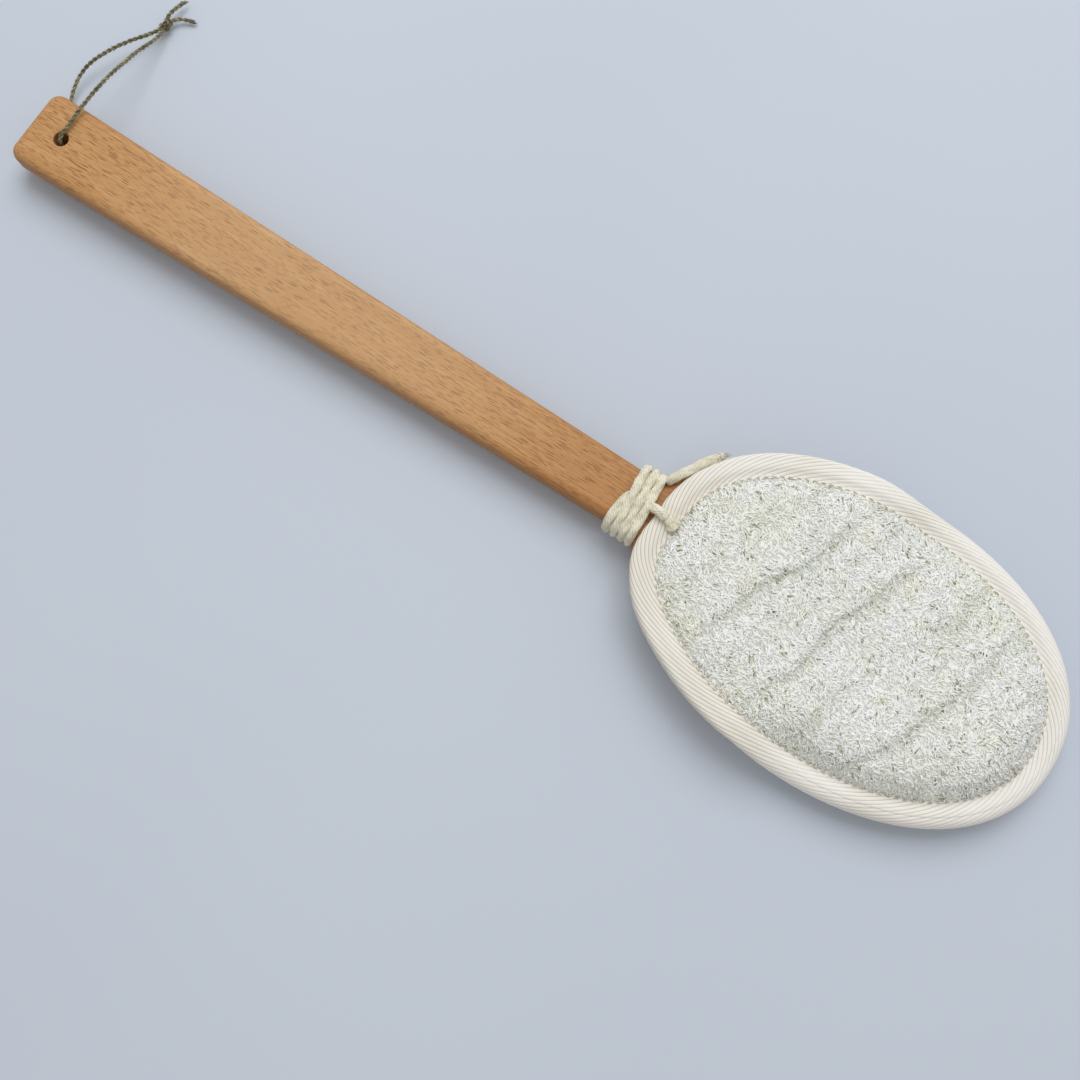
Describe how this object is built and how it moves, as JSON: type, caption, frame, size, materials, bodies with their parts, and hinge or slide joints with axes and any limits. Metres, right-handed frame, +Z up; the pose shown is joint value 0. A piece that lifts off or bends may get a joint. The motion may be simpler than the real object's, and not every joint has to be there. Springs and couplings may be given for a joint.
{
  "type": "loofah back scrubber",
  "caption": "Long flat wooden handle widening into an oval paddle inside a slip-on loofah and terry pad bound with twill tape, with a neck tie and a twine hanging loop.",
  "frame": {"origin": "the middle of the scrubber's length and width, on the surface that the pad lies on, measured without the cords", "axes": "+X from the handle's butt to the pad's far end, +Y across the handle, +Z up on the loofah side"},
  "size_m": [0.4241, 0.1253, 0.0213],
  "materials": {
    "beech": "sanded and lightly oiled, fine straight grain with short dark flecks",
    "twine": "two-ply twisted waxed twine",
    "terry": "looped cotton terry",
    "loofah": "dense mat of dried loofah fibres",
    "twill_tape": "ribbed cotton twill tape",
    "thread": "cotton sewing thread",
    "tie_cord": "soft twisted cotton cord"
  },
  "bodies": {
    "board": {"handle": "beech", "tie_winding": "tie_cord", "tie_lead": "tie_cord", "tie_tail": "tie_cord"},
    "cover": {"back_panel": "terry", "loofah_panel": "loofah", "edge_binding": "twill_tape", "mouth_binding": "twill_tape", "front_stitching": "thread", "back_stitching": "thread", "tie_knot": "tie_cord"},
    "loop": {"hanging_loop": "twine", "hanging_knot": "twine", "twine_tail_long": "twine", "twine_tail_short": "twine"}
  },
  "joints": [
    {"name": "cover_slide", "type": "slide", "parent": "board", "child": "cover", "axis": [1, 0, 0], "range_m": [0, 0.16]},
    {"name": "loop_swing", "type": "hinge", "parent": "board", "child": "loop", "pos_m": [-0.1965, 0, 0.009], "axis": [0, 0, 1], "range_deg": [-60, 190]}
  ]
}
